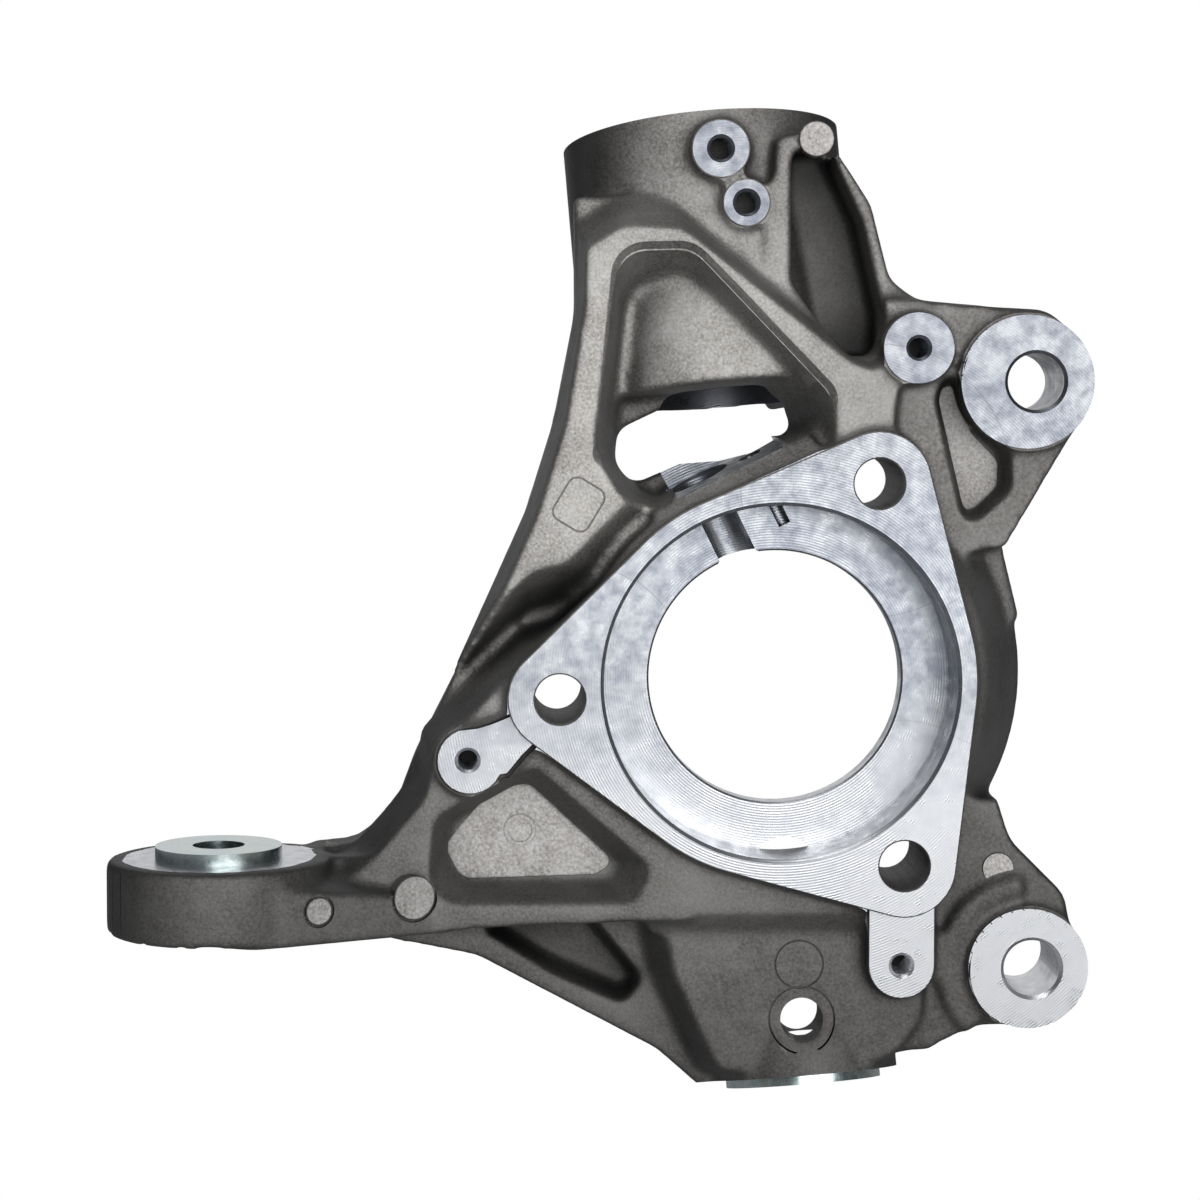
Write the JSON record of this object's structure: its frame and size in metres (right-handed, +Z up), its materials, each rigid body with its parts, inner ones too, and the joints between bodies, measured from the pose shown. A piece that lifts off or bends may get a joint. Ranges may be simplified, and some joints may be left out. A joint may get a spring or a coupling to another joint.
{
  "type": "steering knuckle",
  "caption": "Cast aluminium steering knuckle for a front strut suspension, with strut clamp, bearing bore, caliper ears, steering arm and ball joint housing.",
  "frame": {"origin": "centre of the hub bore on the machined outboard flange face", "axes": "-Y points outboard along the hub axis, +Z up towards the strut clamp, +X from the steering arm towards the caliper ears"},
  "size_m": [0.2581, 0.1423, 0.2661],
  "materials": {
    "casting": "sand cast, machined seats bright",
    "seat_steel": "zinc plated, satin"
  },
  "bodies": {
    "root": {"knuckle_casting": "casting", "tie_rod_seat": "seat_steel", "ball_joint_seat": "seat_steel"}
  },
  "joints": []
}
